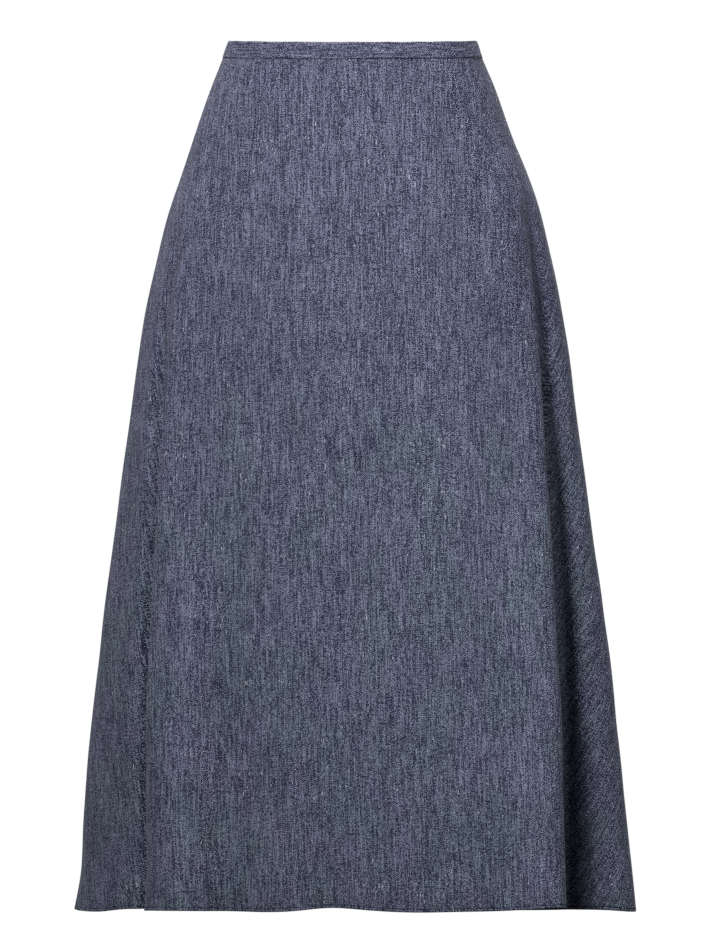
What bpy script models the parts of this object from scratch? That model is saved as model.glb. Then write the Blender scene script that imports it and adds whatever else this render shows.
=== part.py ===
"""A-line midi skirt, worn and hollow: waistband, one front, two backs and a concealed back zip.

Metres, +Z up, the front faces -Y and the wearer's left side is +X.  The origin is the middle of the
waist's upper edge, where the skirt is held up.  Each piece of cloth is a loft between the sections
that its fold lines give.
"""
from collections import namedtuple
import math

import bmesh
import bpy
import numpy as np
from mathutils import Matrix, Vector

# ---------------------------------------------------------------- driving dimensions, in metres
LENGTH = 0.800               # waist's upper edge to hem at the sides
WAIST_DIP = 0.0053           # the waist's edge lies this much lower at the centre front
HEM_RISE = 0.0058            # the hem lies this much higher at the centre front
CLOTH = 0.0014               # wall of a single layer, hem and seam allowances averaged in
SEAM_GAP = 0.0003            # between pieces that meet

BAND_HEIGHT = 0.0150         # waistband
BAND_WALL = 0.0026           # its doubled cloth
BAND_PROUD = 0.0007          # how far it stands out over the panels
BAND_SLOT = 0.0014           # between its two ends at the centre back, where the zip's slider passes

ZIP_START = 0.0015           # the zip's upper end, below the waist's edge
ZIP_END = 0.205              # and its lower end
TAPE_WIDTH = 0.0115
TAPE_WALL = 0.0010
COIL_WIDTH = 0.0032
COIL_WALL = 0.0018

SLIDER_DROP = 0.0065         # the slider's middle, below the waist's edge
SLIDER_SIZE = (0.0066, 0.0032, 0.0088)
NECK_WIDTH = 0.0008
NECK_HEIGHT = 0.0038
LUG_REACH = 0.0026           # from the band's face out to the hinge's axis
LUG_RADIUS = 0.0019
LUG_EYE = 0.00105
TAB_LENGTH = 0.0215          # from the hinge's axis to the tab's tip
TAB_WALL = 0.0010
TAB_BAR = 0.0010             # height of the bar that turns in the lug's eye
TAB_NECK = 0.0036            # the tab's width at the bar
TAB_BELLY = 0.0060           # and at its widest
TAB_WINDOW = (0.0015, 0.0024)    # width, and how far it reaches below the hinge's axis
TAB_REST = 0.0003            # the resting tab's clearance to the cloth

# How far the cloth reaches from the middle to each side, at a drop below the waist's edge
Reach = namedtuple("Reach", "drop minus_x plus_x front back")
REACHES = (
    Reach(0.000, 0.1140, 0.1134, 0.0930, 0.0970),
    Reach(0.015, 0.1193, 0.1187, 0.0957, 0.1001),
    Reach(0.040, 0.1291, 0.1293, 0.0998, 0.1051),
    Reach(0.080, 0.1430, 0.1437, 0.1055, 0.1122),
    Reach(0.119, 0.1562, 0.1592, 0.1103, 0.1186),
    Reach(0.156, 0.1685, 0.1722, 0.1142, 0.1241),
    Reach(0.193, 0.1779, 0.1809, 0.1172, 0.1286),
    Reach(0.240, 0.1886, 0.1906, 0.1202, 0.1332),
    Reach(0.300, 0.1985, 0.2002, 0.1234, 0.1378),
    Reach(0.395, 0.2113, 0.2122, 0.1281, 0.1440),
    Reach(0.500, 0.2251, 0.2272, 0.1334, 0.1509),
    Reach(0.615, 0.2387, 0.2419, 0.1396, 0.1588),
    Reach(0.715, 0.2474, 0.2517, 0.1452, 0.1658),
    Reach(0.770, 0.2506, 0.2575, 0.1483, 0.1698),
    Reach(0.800, 0.2555, 0.2612, 0.1500, 0.1720),
)

# The lines that run down the cloth, in order round the skirt from the centre front past its right
# silhouette (+X) and the centre back.  A line leaves the waist at an angle from the centre front, in
# degrees, and reaches the hem at x, y.  It stays with the plain waist shape down to the drop opens,
# then moves over to its place at the hem, faster at first where ease is under 1.  lift raises the
# hem's edge there.
Line = namedtuple("Line", "name waist hem_x hem_y opens ease lift")
LINES = (
    Line("centre_front", 0, 0.0080, -0.1425, 0.20, 1.0, 0.0010),
    Line("front_crest", 13, 0.0520, -0.1460, 0.25, 1.0, -0.0015),
    Line("wide_crest", 26, 0.0980, -0.1470, 0.28, 1.0, -0.0009),
    Line("front_hollow", 40, 0.1480, -0.1350, 0.28, 1.0, 0.0004),
    Line("edge_rise", 50, 0.1750, -0.1390, 0.28, 0.9, 0.0022),
    Line("fold_edge", 57.5, 0.1930, -0.1220, 0.31, 1.0, 0.0027),
    Line("fold_under", 62.5, 0.1870, -0.0990, 0.16, 0.9, 0.0020),
    Line("fold_in", 67.5, 0.1650, -0.0780, 0.12, 0.8, 0.0010),
    Line("fold_root", 72, 0.1460, -0.0550, 0.12, 0.75, 0.0005),
    Line("fold_back", 73.7, 0.1580, -0.0390, 0.12, 0.75, 0.0005),
    Line("fold_out", 76, 0.1960, -0.0390, 0.11, 0.85, 0.0008),
    Line("flute_face", 79.5, 0.2310, -0.0320, 0.10, 1.0, 0.0006),
    Line("flute_front", 85, 0.2530, -0.0150, 0.09, 1.0, -0.0008),
    Line("flute_crest", 91, 0.2612, 0.0100, 0.09, 1.0, -0.0008),
    Line("left_seam", 95, 0.2560, 0.0320, 0.09, 1.0, 0.0000),
    Line("flute_back", 100, 0.2370, 0.0490, 0.09, 1.0, 0.0000),
    Line("back_in", 105, 0.2050, 0.0590, 0.10, 0.9, 0.0004),
    Line("back_root", 110, 0.1740, 0.0740, 0.12, 0.8, 0.0008),
    Line("back_out", 115, 0.1740, 0.0960, 0.10, 0.9, 0.0008),
    Line("back_edge", 121, 0.1860, 0.1180, 0.09, 1.0, 0.0008),
    Line("back_rise", 129, 0.1760, 0.1400, 0.09, 1.0, 0.0000),
    Line("back_flat", 140, 0.1420, 0.1530, 0.09, 1.0, -0.0006),
    Line("back_hollow", 154, 0.0950, 0.1570, 0.09, 1.0, 0.0010),
    Line("back_crest", 168, 0.0450, 0.1710, 0.09, 1.0, -0.0006),
    Line("centre_back", 180, 0.0000, 0.1700, 0.09, 1.0, 0.0000),
    Line("right_back_crest", 192, -0.0480, 0.1720, 0.09, 1.0, -0.0004),
    Line("right_back_hollow", 206, -0.0980, 0.1580, 0.09, 1.0, 0.0008),
    Line("right_back_flat", 220, -0.1420, 0.1500, 0.10, 0.9, 0.0000),
    Line("right_back_rise", 231, -0.1740, 0.1360, 0.10, 0.8, 0.0000),
    Line("right_back_edge", 239, -0.1840, 0.1140, 0.10, 0.8, 0.0010),
    Line("right_back_out", 245, -0.1750, 0.0950, 0.10, 0.8, 0.0008),
    Line("right_back_root", 250, -0.1790, 0.0750, 0.10, 0.8, 0.0008),
    Line("right_back_in", 255, -0.2030, 0.0620, 0.10, 0.8, 0.0004),
    Line("right_flute_back", 260, -0.2330, 0.0500, 0.10, 0.8, 0.0000),
    Line("right_seam", 265, -0.2500, 0.0320, 0.10, 0.8, 0.0004),
    Line("right_flute_crest", 270, -0.2555, 0.0100, 0.10, 0.8, 0.0010),
    Line("right_flute_front", 275, -0.2500, -0.0170, 0.10, 0.8, 0.0000),
    Line("right_flute_face", 280, -0.2300, -0.0500, 0.10, 0.8, -0.0006),
    Line("right_fold_out", 285.5, -0.2080, -0.0740, 0.12, 0.9, 0.0015),
    Line("right_fold_back", 289, -0.1880, -0.0840, 0.12, 0.9, 0.0016),
    Line("right_fold_root", 291.5, -0.1730, -0.0880, 0.12, 0.9, 0.0012),
    Line("right_fold_turn", 293.5, -0.1670, -0.0960, 0.12, 0.9, 0.0008),
    Line("right_fold_under", 296, -0.1740, -0.1050, 0.12, 0.95, 0.0004),
    Line("right_fold_edge", 300.5, -0.1885, -0.1200, 0.14, 1.3, 0.0002),
    Line("right_edge_rise", 306, -0.1790, -0.1410, 0.22, 1.0, 0.0002),
    Line("right_ridge", 312, -0.1580, -0.1500, 0.28, 1.0, 0.0000),
    Line("right_slope", 322, -0.1220, -0.1380, 0.28, 0.9, -0.0005),
    Line("right_hollow", 330, -0.0960, -0.1350, 0.28, 0.9, -0.0009),
    Line("small_crest", 342, -0.0540, -0.1430, 0.25, 1.0, -0.0003),
    Line("centre_hollow", 351, -0.0200, -0.1410, 0.25, 1.0, 0.0025),
)
FOLD_START = 0.10            # softness of the start of a fold, as a share of the length it has
WAIST_ROUND = 0.3            # softness of the waist's dip where it ends at the sides

# Rows of faces down each piece, and for the panels the drops between them
BAND_ROWS = 2
TAPE_ROWS = 12
COIL_ROWS = 11
PANEL_DROPS = (0.035, 0.058, 0.082, 0.108, 0.135, 0.163, 0.193, 0.228, 0.270, 0.320, 0.378,
               0.440, 0.505, 0.570, 0.635, 0.695, 0.748, 0.782)
STEPS = 2                    # faces between two lines
OUTLINE_STEP = 0.2           # spacing, in lines, at which a section's outline is measured
NUDGE = 0.001                # and the one its direction is taken over

# Rounded edges and round pieces
BAND_ROUND = 0.0006
COIL_ROUND = 0.0005
SLIDER_ROUND = 0.0009
ROUNDED_ANGLE = math.radians(50)     # edges that turn more than this are rounded
SHARP_ANGLE = math.radians(45)       # and a wall's edges that turn more than this stay crisp
LUG_SEGMENTS = 24
EYE_SEGMENTS = 20
TIP_STEPS = 12
EYE_CUT = 3                  # the eye's cutter is this many times as wide as the lug
SLOPE_REACH = 0.004          # half the height over which the cloth's slope at the slider is taken
TAB_SAMPLES = 12             # heights at which the resting tab must clear the cloth

# Colours, linear
Finish = namedtuple("Finish", "colour roughness metallic")
FINISHES = {
    "chambray": Finish((0.075, 0.090, 0.150), 0.92, 0.0),
    "tape": Finish((0.020, 0.026, 0.060), 0.85, 0.0),
    "coil": Finish((0.018, 0.024, 0.055), 0.45, 0.0),
    "zip_metal": Finish((0.045, 0.050, 0.075), 0.38, 0.9),
}


# ---------------------------------------------------------------- sections of the cloth
def column(rows, name):
    return np.array([getattr(row, name) for row in rows])


def smooth_lookup(table, name, drop):
    """A column of a table at a drop, on a smooth curve through its rows."""
    drops = column(table, "drop")
    values = column(table, name)
    slopes = np.gradient(values, drops)
    row = int(np.clip(np.searchsorted(drops, drop) - 1, 0, len(drops) - 2))
    step = drops[row + 1] - drops[row]
    part = (drop - drops[row]) / step
    return hermite(part, values[row], values[row + 1], slopes[row] * step, slopes[row + 1] * step)


def hermite(part, start, end, start_slope, end_slope):
    rise = part * part * (3 - 2 * part)
    return (start * (1 - rise) + end * rise
            + start_slope * part * (1 - part) ** 2
            - end_slope * part ** 2 * (1 - part))


def towards(values, low, high):
    """Scale the negative values to reach low and the positive ones to reach high."""
    return np.where(values < 0, values * low, values * high)


ANGLES = np.radians(column(LINES, "waist"))
HEM = REACHES[-1]
HEM_PLAN = np.stack([towards(column(LINES, "hem_x"), 1 / HEM.minus_x, 1 / HEM.plus_x),
                     towards(column(LINES, "hem_y"), 1 / HEM.front, 1 / HEM.back)])
WAIST_PLAN = np.stack([np.sin(ANGLES), -np.cos(ANGLES)])
FRONT_SHARE = (np.cos(ANGLES) + np.sqrt(np.cos(ANGLES) ** 2 + WAIST_ROUND ** 2)) / 2
LINE_INDEX = {line.name: index for index, line in enumerate(LINES)}


def opened(drop):
    """How far each line has moved over from the waist's shape to the hem's, from 0 to 1."""
    opens = column(LINES, "opens")
    share = np.clip((drop - opens) / (LENGTH - opens), 0, None)
    return (share ** 2 / (share + FOLD_START) * (1 + FOLD_START)) ** column(LINES, "ease")


class Section:
    """The closed curve of the cloth's outer face at one drop, smooth through all the lines."""

    def __init__(self, drop):
        share = drop / LENGTH
        moved = opened(drop)
        plan = WAIST_PLAN * (1 - moved) + HEM_PLAN * moved
        minus_x, plus_x, front, back = (smooth_lookup(REACHES, side, drop) for side in Reach._fields[1:])
        x = towards(plan[0], minus_x, plus_x)
        y = towards(plan[1], front, back)
        top = -WAIST_DIP * FRONT_SHARE
        hem = -LENGTH + HEM_RISE * np.clip(-HEM_PLAN[1], 0, 1) + column(LINES, "lift")
        z = top + (hem - top) * share
        self.fit(np.stack([x, y, z], axis=1))
        outline = self.curve(np.arange(0, len(LINES), OUTLINE_STEP))
        x = towards(x, minus_x / -outline[:, 0].min(), plus_x / outline[:, 0].max())
        y = towards(y, front / -outline[:, 1].min(), back / outline[:, 1].max())
        self.fit(np.stack([x, y, z], axis=1))

    def fit(self, knots):
        """Tangents of the smooth closed cubic curve through the knots."""
        ahead = np.roll(knots, -1, axis=0) - knots
        span = np.linalg.norm(ahead, axis=1)
        before = np.roll(span, 1)
        pace = ahead / span[:, None]
        matrix = np.diag(2 * (before + span))
        for index in range(len(knots)):
            matrix[index, index - 1] += span[index]
            matrix[index, (index + 1) % len(knots)] += before[index]
        pull = 3 * (span[:, None] * np.roll(pace, 1, axis=0) + before[:, None] * pace)
        self.knots = knots
        self.span = span
        self.tangents = np.linalg.solve(matrix, pull)

    def curve(self, places):
        """Points of the curve, whose places count the lines: 2.5 lies halfway from line 2 to 3."""
        places = np.asarray(places, dtype=float)
        start = np.floor(places).astype(int) % len(self.knots)
        end = (start + 1) % len(self.knots)
        part = (places - np.floor(places))[:, None]
        span = self.span[start][:, None]
        return hermite(part, self.knots[start], self.knots[end],
                       self.tangents[start] * span, self.tangents[end] * span)

    def outward(self, places):
        """Unit vectors that point out of the skirt, level."""
        ahead = self.curve(np.asarray(places) + NUDGE) - self.curve(np.asarray(places) - NUDGE)
        outward = np.stack([ahead[:, 1], -ahead[:, 0], np.zeros(len(ahead))], axis=1)
        return outward / np.linalg.norm(outward, axis=1)[:, None]

    def beside(self, line, distance):
        """The place that lies a distance along the cloth from a line, past it or before it."""
        index = LINE_INDEX[line]
        span = self.span[index % len(LINES)] if distance > 0 else self.span[index - 1]
        return index + distance / span


# ---------------------------------------------------------------- the scene and its materials
def clear_scene():
    for thing in list(bpy.data.objects):
        bpy.data.objects.remove(thing, do_unlink=True)


def new_collection(name):
    group = bpy.data.collections.new(name)
    bpy.context.scene.collection.children.link(group)
    return group


def new_material(name):
    finish = FINISHES[name]
    material = bpy.data.materials.new(name)
    material.use_nodes = True
    shader = material.node_tree.nodes["Principled BSDF"]
    shader.inputs["Base Color"].default_value = (*finish.colour, 1.0)
    shader.inputs["Roughness"].default_value = finish.roughness
    shader.inputs["Metallic"].default_value = finish.metallic
    return material


def add_object(name, mesh, material, group):
    thing = bpy.data.objects.new(name, mesh)
    group.objects.link(thing)
    if material:
        mesh.materials.append(material)
    return thing


# ---------------------------------------------------------------- cloth
def cloth(name, drops, places_at, material, group, wall=CLOTH, proud=0.0):
    """A wall lofted through a thin closed profile at each drop, its outer face proud of the section."""
    mesh = bpy.data.meshes.new(name)
    shape = bmesh.new()
    rings = []
    for drop in drops:
        section = Section(drop)
        places = places_at(section)
        outward = section.outward(places)
        outer = section.curve(places) + proud * outward
        inner = outer - wall * outward
        rings.append([shape.verts.new(point) for point in (*outer, *inner[::-1])])
    count = len(rings[0])
    for upper, lower in zip(rings, rings[1:]):
        for near in range(count):
            far = (near + 1) % count
            shape.faces.new((upper[near], lower[near], lower[far], upper[far]))
    for near in range(count // 2 - 1):
        profile = (near, near + 1, count - 2 - near, count - 1 - near)
        shape.faces.new([rings[0][index] for index in profile])
        shape.faces.new([rings[-1][index] for index in reversed(profile)])
    shape.to_mesh(mesh)
    shape.free()
    mesh.shade_smooth()
    mesh.set_sharp_from_angle(angle=SHARP_ANGLE)
    return add_object(name, mesh, material, group)


def round_edges(thing, width, segments):
    bevel = thing.modifiers.new("round", "BEVEL")
    bevel.width = width
    bevel.segments = segments
    bevel.limit_method = "ANGLE"
    bevel.angle_limit = ROUNDED_ANGLE


def between(start, end, gap):
    """Places from one line to another in a section, short of both by half a gap."""
    first = LINE_INDEX[start]
    last = LINE_INDEX[end]
    if last <= first:
        last += len(LINES)

    def places_at(section):
        places = np.linspace(first, last, (last - first) * STEPS + 1)
        places[0] += gap / 2 / section.span[first % len(LINES)]
        places[-1] -= gap / 2 / section.span[(last - 1) % len(LINES)]
        return places

    return places_at


def strip(line, distances):
    """Places of a narrow strip's edges and middles, at these distances along the cloth from a line."""
    def places_at(section):
        return np.array([section.beside(line, distance) for distance in distances])

    return places_at


def build_cloth(group, material):
    band_drops = np.linspace(0, BAND_HEIGHT, BAND_ROWS + 1)
    band = cloth("waistband", band_drops, between("centre_back", "centre_back", BAND_SLOT),
                 material, group, wall=BAND_WALL, proud=BAND_PROUD)
    round_edges(band, BAND_ROUND, 1)
    panel_drops = (BAND_HEIGHT + SEAM_GAP, *PANEL_DROPS, LENGTH)
    for name, start, end in (("front", "right_seam", "left_seam"),
                             ("back_left", "left_seam", "centre_back"),
                             ("back_right", "centre_back", "right_seam")):
        cloth(name, panel_drops, between(start, end, SEAM_GAP), material, group)


# ---------------------------------------------------------------- zip
def build_tapes(group, tape, coil):
    """Two tapes inside the backs, and the closed coil along their edges."""
    tape_drops = np.linspace(ZIP_START, ZIP_END, TAPE_ROWS + 1)
    tape_depth = BAND_PROUD - BAND_WALL - SEAM_GAP
    near = BAND_SLOT / 2
    far = near + TAPE_WIDTH
    middle = (near + far) / 2
    for name, distances in (("zip_tape_left", (-far, -middle, -near)),
                            ("zip_tape_right", (near, middle, far))):
        cloth(name, tape_drops, strip("centre_back", distances), tape, group,
              wall=TAPE_WALL, proud=tape_depth)
    coil_depth = tape_depth - TAPE_WALL - SEAM_GAP
    slider_depth = BAND_PROUD - coil_depth + SLIDER_SIZE[1]
    slope = slider_place()[1]
    coil_start = SLIDER_DROP + SLIDER_SIZE[2] / 2 + slider_depth * math.sin(slope) + SEAM_GAP
    rod = cloth("zip_coil", np.linspace(coil_start, ZIP_END, COIL_ROWS + 1),
                strip("centre_back", (-COIL_WIDTH / 2, COIL_WIDTH / 2)), coil, group,
                wall=COIL_WALL, proud=coil_depth)
    round_edges(rod, COIL_ROUND, 1)


def slider_place():
    """The point on the band's face behind the slider's middle, and the cloth's slope there."""
    run = band_face(SLIDER_DROP + SLOPE_REACH) - band_face(SLIDER_DROP - SLOPE_REACH)
    return band_face(SLIDER_DROP), math.atan2(run.y, -run.z)


def band_face(drop):
    section = Section(drop)
    place = [LINE_INDEX["centre_back"]]
    return Vector((section.curve(place) + BAND_PROUD * section.outward(place))[0])


def box_mesh(name, size, centre):
    mesh = bpy.data.meshes.new(name)
    shape = bmesh.new()
    place = Matrix.Translation(centre) @ Matrix.Diagonal((*size, 1))
    bmesh.ops.create_cube(shape, size=1.0, matrix=place)
    shape.to_mesh(mesh)
    shape.free()
    return mesh


def drum_mesh(name, radius, width, centre, segments):
    """A cylinder along X."""
    mesh = bpy.data.meshes.new(name)
    shape = bmesh.new()
    turn = Matrix.Rotation(math.pi / 2, 4, "Y")
    bmesh.ops.create_cone(shape, cap_ends=True, segments=segments, radius1=radius, radius2=radius,
                          depth=width, matrix=Matrix.Translation(centre) @ turn)
    shape.to_mesh(mesh)
    shape.free()
    return mesh


def build_slider(group, cutters, material):
    """The slider's body behind the tapes, its neck through the slot and its lug outside."""
    origin, slope = slider_place()
    lean = Matrix.Translation(origin) @ Matrix.Rotation(slope, 4, "X")
    body_face = -(BAND_WALL + SEAM_GAP + TAPE_WALL + SEAM_GAP)
    body_centre = (0.0, body_face - SLIDER_SIZE[1] / 2, 0.0)
    body = add_object("zip_slider", box_mesh("zip_slider", SLIDER_SIZE, body_centre), material, group)
    body.matrix_world = lean
    round_edges(body, SLIDER_ROUND, 2)
    neck_start = body_face - SLIDER_SIZE[1] / 2
    neck_size = (NECK_WIDTH, LUG_REACH - neck_start, NECK_HEIGHT)
    neck_centre = (0.0, (LUG_REACH + neck_start) / 2, 0.0)
    hinge = (0.0, LUG_REACH, 0.0)
    pieces = (("neck", box_mesh("neck", neck_size, neck_centre), "UNION"),
              ("lug", drum_mesh("lug", LUG_RADIUS, NECK_WIDTH, hinge, LUG_SEGMENTS), "UNION"),
              ("eye", drum_mesh("eye", LUG_EYE, NECK_WIDTH * EYE_CUT, hinge, EYE_SEGMENTS),
               "DIFFERENCE"))
    for name, mesh, operation in pieces:
        cutter = add_object(name, mesh, None, cutters)
        cutter.matrix_world = lean
        cutter.hide_render = True
        cutter.display_type = "WIRE"
        boolean = body.modifiers.new(name, "BOOLEAN")
        boolean.operation = operation
        boolean.solver = "EXACT"
        boolean.object = cutter
    return lean @ Vector(hinge)


def tab_tilt(hinge):
    """The angle from upright at which the tab rests against the cloth below the slider."""
    tilt = 0.0
    reach = TAB_REST + TAB_WALL / 2
    for drop in np.linspace(SLIDER_DROP + SLOPE_REACH, SLIDER_DROP + TAB_LENGTH, TAB_SAMPLES):
        face = band_face(drop)
        if drop > BAND_HEIGHT:
            face.y -= BAND_PROUD
        tilt = max(tilt, math.atan2(face.y + reach - hinge.y, hinge.z - face.z))
    return tilt


def tab_outline():
    """The teardrop's outline in its own plane, from the bar down to the round tip and back."""
    top = TAB_BAR / 2
    belly = TAB_BELLY / 2
    tip_centre = -TAB_LENGTH + belly
    right = [(TAB_NECK / 2, top), (TAB_NECK / 2, -TAB_WINDOW[1])]
    for step in range(TIP_STEPS + 1):
        turn = math.pi * step / TIP_STEPS
        right.append((belly * math.cos(turn), tip_centre - belly * math.sin(turn)))
    return right + [(-TAB_NECK / 2, -TAB_WINDOW[1]), (-TAB_NECK / 2, top)]


def build_pull(group, material, hinge):
    """The pull tab: a flat teardrop with a window, whose upper bar turns in the lug's eye."""
    flat = bpy.data.curves.new("zip_pull", "CURVE")
    flat.dimensions = "2D"
    flat.fill_mode = "BOTH"
    flat.extrude = TAB_WALL / 2
    half = TAB_WINDOW[0] / 2
    upper = -TAB_BAR / 2
    lower = -TAB_WINDOW[1]
    window = [(-half, upper), (half, upper), (half, lower), (-half, lower)]
    for outline in (tab_outline(), window):
        spline = flat.splines.new("POLY")
        spline.points.add(len(outline) - 1)
        spline.use_cyclic_u = True
        for point, place in zip(spline.points, outline):
            point.co = (*place, 0.0, 1.0)
    tab = add_object("zip_pull", flat, material, group)
    upright = Matrix.Rotation(math.pi / 2, 4, "X")
    tilt = Matrix.Rotation(tab_tilt(hinge), 4, "X")
    tab.matrix_world = Matrix.Translation(hinge) @ tilt @ upright


def main():
    """The skirt in one collection and the tools that cut it in another."""
    clear_scene()
    group = new_collection("midi_skirt")
    cutters = new_collection("cutters")
    materials = {name: new_material(name) for name in FINISHES}
    build_cloth(group, materials["chambray"])
    build_tapes(group, materials["tape"], materials["coil"])
    hinge = build_slider(group, cutters, materials["zip_metal"])
    build_pull(group, materials["zip_metal"], hinge)
    bpy.context.view_layer.update()


main()
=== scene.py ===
"""Looks of the A-line midi skirt: fine cloth, seams, hem, zip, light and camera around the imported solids.

Metres, +Z up, the front faces -Y and the wearer's left side is +X.  A drop is a distance below the
waist's edge, and a place is a position round the skirt that counts the lines that run down the cloth.
"""

from collections import namedtuple
import math

import bpy
import numpy as np
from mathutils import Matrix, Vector


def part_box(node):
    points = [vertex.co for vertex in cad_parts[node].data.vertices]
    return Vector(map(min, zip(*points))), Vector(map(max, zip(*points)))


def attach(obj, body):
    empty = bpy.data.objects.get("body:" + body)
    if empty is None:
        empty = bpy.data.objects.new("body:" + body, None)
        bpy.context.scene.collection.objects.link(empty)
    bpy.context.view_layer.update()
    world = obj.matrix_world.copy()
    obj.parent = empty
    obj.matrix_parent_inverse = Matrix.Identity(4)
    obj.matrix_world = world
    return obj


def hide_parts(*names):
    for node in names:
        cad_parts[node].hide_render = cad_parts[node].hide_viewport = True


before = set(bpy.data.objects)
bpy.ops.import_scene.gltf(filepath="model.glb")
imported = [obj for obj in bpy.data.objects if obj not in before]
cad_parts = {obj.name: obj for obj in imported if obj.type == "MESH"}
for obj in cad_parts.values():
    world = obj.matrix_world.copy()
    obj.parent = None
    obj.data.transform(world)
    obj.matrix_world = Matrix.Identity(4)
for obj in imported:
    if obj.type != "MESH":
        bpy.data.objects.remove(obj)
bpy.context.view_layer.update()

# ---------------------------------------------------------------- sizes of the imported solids
LENGTH = 0.800
WAIST_DIP = 0.0053
HEM_RISE = 0.0058
BAND_HEIGHT = 0.0150
BAND_WALL = 0.0026
BAND_PROUD = 0.0007
BAND_SLOT = 0.0014
SEAM_GAP = 0.0003
ZIP_START = 0.0015
ZIP_END = 0.205
TAPE_WIDTH = 0.0115
TAPE_WALL = 0.0010
COIL_WALL = 0.0018

Reach = namedtuple("Reach", "drop minus_x plus_x front back")
REACHES = (
    Reach(0.000, 0.1140, 0.1134, 0.0930, 0.0970),
    Reach(0.015, 0.1193, 0.1187, 0.0957, 0.1001),
    Reach(0.040, 0.1291, 0.1293, 0.0998, 0.1051),
    Reach(0.080, 0.1430, 0.1437, 0.1055, 0.1122),
    Reach(0.119, 0.1562, 0.1592, 0.1103, 0.1186),
    Reach(0.156, 0.1685, 0.1722, 0.1142, 0.1241),
    Reach(0.193, 0.1779, 0.1809, 0.1172, 0.1286),
    Reach(0.240, 0.1886, 0.1906, 0.1202, 0.1332),
    Reach(0.300, 0.1985, 0.2002, 0.1234, 0.1378),
    Reach(0.395, 0.2113, 0.2122, 0.1281, 0.1440),
    Reach(0.500, 0.2251, 0.2272, 0.1334, 0.1509),
    Reach(0.615, 0.2387, 0.2419, 0.1396, 0.1588),
    Reach(0.715, 0.2474, 0.2517, 0.1452, 0.1658),
    Reach(0.770, 0.2506, 0.2575, 0.1483, 0.1698),
    Reach(0.800, 0.2555, 0.2612, 0.1500, 0.1720),
)
Line = namedtuple("Line", "name waist hem_x hem_y opens ease lift")
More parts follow.
